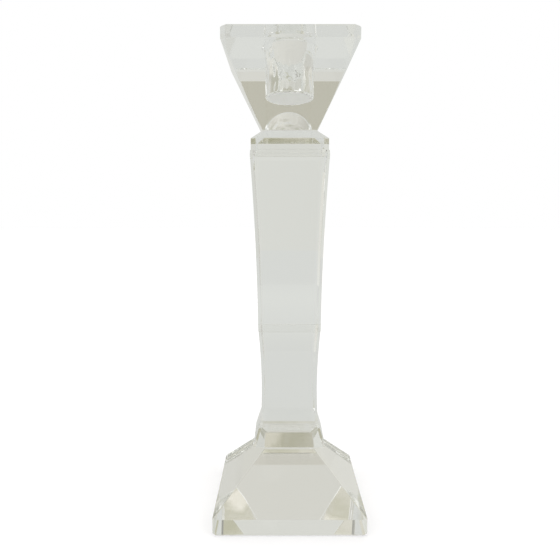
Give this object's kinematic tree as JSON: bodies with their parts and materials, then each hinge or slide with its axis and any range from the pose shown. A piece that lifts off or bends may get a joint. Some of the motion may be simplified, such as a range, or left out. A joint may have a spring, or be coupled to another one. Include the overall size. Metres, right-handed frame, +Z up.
{
  "type": "glass candlestick",
  "caption": "Clear cut-crystal candlestick: square faceted base, waisted square column and flared square cup with a drilled socket for a taper candle.",
  "frame": {"origin": "middle of the underside of the base, on the surface that the candlestick stands on", "axes": "+Z up along the candlestick's axis, out of the candle socket's mouth; X and Y square to the sides of the base"},
  "size_m": [0.0718, 0.0718, 0.2286],
  "materials": {
    "crystal": "polished clear optical crystal",
    "adhesive": "clear cured adhesive"
  },
  "bodies": {
    "root": {"base_block": "crystal", "lower_stem": "crystal", "upper_column": "crystal", "neck_collar": "crystal", "candle_cup": "crystal", "foot_bond": "adhesive", "stem_bond": "adhesive", "collar_bond": "adhesive", "cup_bond": "adhesive"}
  },
  "joints": []
}
